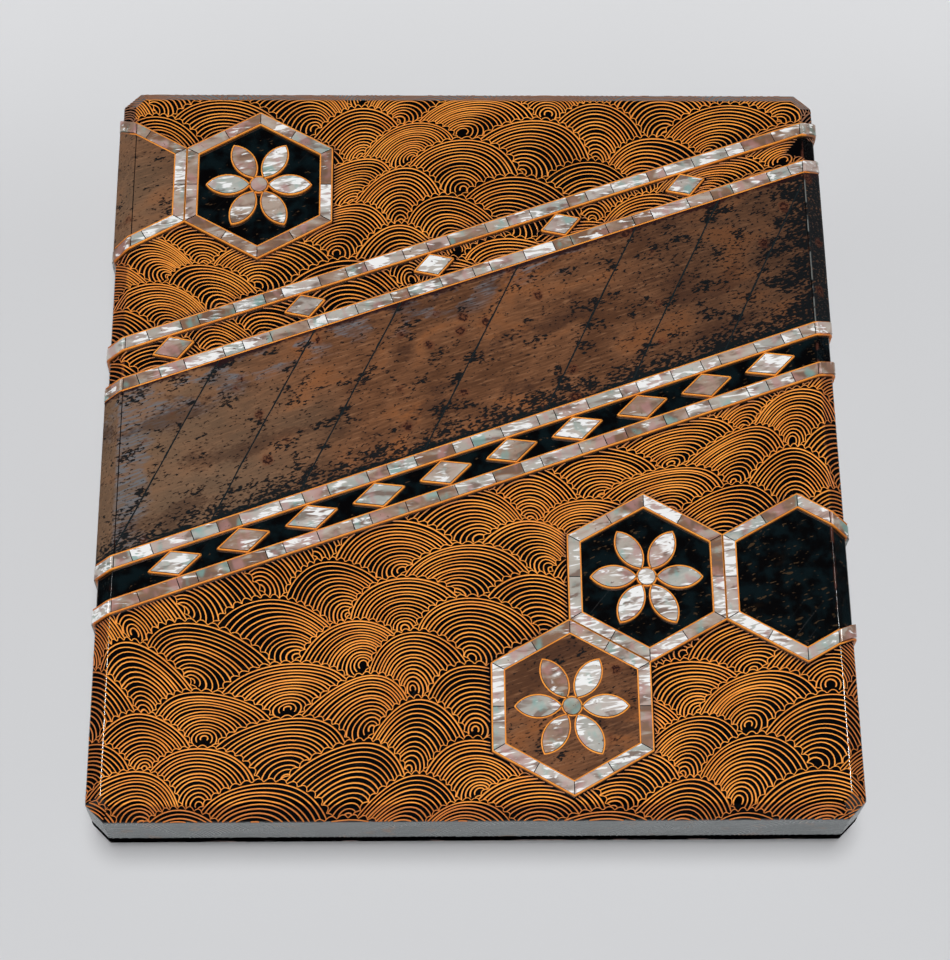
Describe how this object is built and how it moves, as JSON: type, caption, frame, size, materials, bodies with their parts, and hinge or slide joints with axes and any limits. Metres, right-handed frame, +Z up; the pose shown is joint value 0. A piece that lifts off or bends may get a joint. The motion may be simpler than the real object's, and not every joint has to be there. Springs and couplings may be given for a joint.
{
  "type": "lacquered writing box",
  "caption": "Shallow lacquered writing box with cut corners, a bevelled inlaid lid, an insert for inkstone and water dropper, and a lift-out brush tray.",
  "frame": {"origin": "centre of the box's plan, on the surface that the foot stands on", "axes": "+Z up, +Y from the front to the back along the longer side, +X to the right"},
  "size_m": [0.222, 0.24, 0.031],
  "materials": {
    "black_lacquer": "polished black lacquer over a wood core, with raised gold lines",
    "sprinkled_lacquer": "clear brown lacquer over sprinkled gold flakes",
    "gold_lacquer": "burnished gold-dust lacquer",
    "red_lacquer": "polished red lacquer over bamboo",
    "hardwood": "oiled hardwood, worn smooth",
    "lead": "worn brown patina on lead sheet",
    "shell": "polished mother-of-pearl",
    "slate": "honed dark slate",
    "copper": "patinated copper",
    "brass": "satin",
    "steel": "ground",
    "hair": "fine animal hair drawn to a point",
    "ink": "pressed lamp-soot ink"
  },
  "bodies": {
    "base": {"base_shell": "black_lacquer", "base_riser": "sprinkled_lacquer", "base_foot": "black_lacquer"},
    "insert": {"insert_tray": "sprinkled_lacquer", "insert_deck": "sprinkled_lacquer", "stone_bead": "gold_lacquer", "dropper_bead": "gold_lacquer", "tool_rests": "black_lacquer"},
    "brush_tray": {"brush_tray": "sprinkled_lacquer", "brush_rests": "black_lacquer"},
    "lid": {"lid_shell": "black_lacquer", "lead_sash": "lead", "shell_strips": "shell", "shell_lozenges": "shell", "shell_hexagons": "shell", "lead_hexagons": "lead", "shell_flowers": "shell"},
    "inkstone": {"inkstone": "slate"},
    "dropper": {"dropper_pan": "copper", "dropper_top": "copper", "dropper_spout": "copper"},
    "brush_1": {"brush_1_shaft": "red_lacquer", "brush_1_collar": "brass", "brush_1_hair": "hair"},
    "brush_2": {"brush_2_shaft": "black_lacquer", "brush_2_collar": "brass", "brush_2_hair": "hair"},
    "ink_stick": {"ink_stick": "ink"},
    "knife": {"knife_handle": "hardwood", "knife_collar": "brass", "knife_blade": "steel"},
    "awl": {"awl_handle": "hardwood", "awl_collar": "brass", "awl_point": "steel"}
  },
  "joints": [
    {"name": "insert_lift", "type": "slide", "parent": "base", "child": "insert", "axis": [0, 0, 1], "range_m": [0, 0.06]},
    {"name": "tray_lift", "type": "slide", "parent": "insert", "child": "brush_tray", "axis": [0, 0, 1], "range_m": [0, 0.06]},
    {"name": "lid_lift", "type": "slide", "parent": "brush_tray", "child": "lid", "axis": [0, 0, 1], "range_m": [0, 0.12]},
    {"name": "inkstone_lift", "type": "slide", "parent": "insert", "child": "inkstone", "axis": [0, 0, 1], "range_m": [0, 0.005]},
    {"name": "dropper_lift", "type": "slide", "parent": "insert", "child": "dropper", "axis": [0, 0, 1], "range_m": [0, 0.0045]},
    {"name": "brush_1_lift", "type": "slide", "parent": "brush_tray", "child": "brush_1", "axis": [0, 0, 1], "range_m": [0, 0.005]},
    {"name": "brush_2_lift", "type": "slide", "parent": "brush_tray", "child": "brush_2", "axis": [0, 0, 1], "range_m": [0, 0.005]},
    {"name": "ink_stick_lift", "type": "slide", "parent": "insert", "child": "ink_stick", "axis": [0, 0, 1], "range_m": [0, 0.008]},
    {"name": "knife_lift", "type": "slide", "parent": "insert", "child": "knife", "axis": [0, 0, 1], "range_m": [0, 0.008]},
    {"name": "awl_lift", "type": "slide", "parent": "insert", "child": "awl", "axis": [0, 0, 1], "range_m": [0, 0.007]}
  ]
}
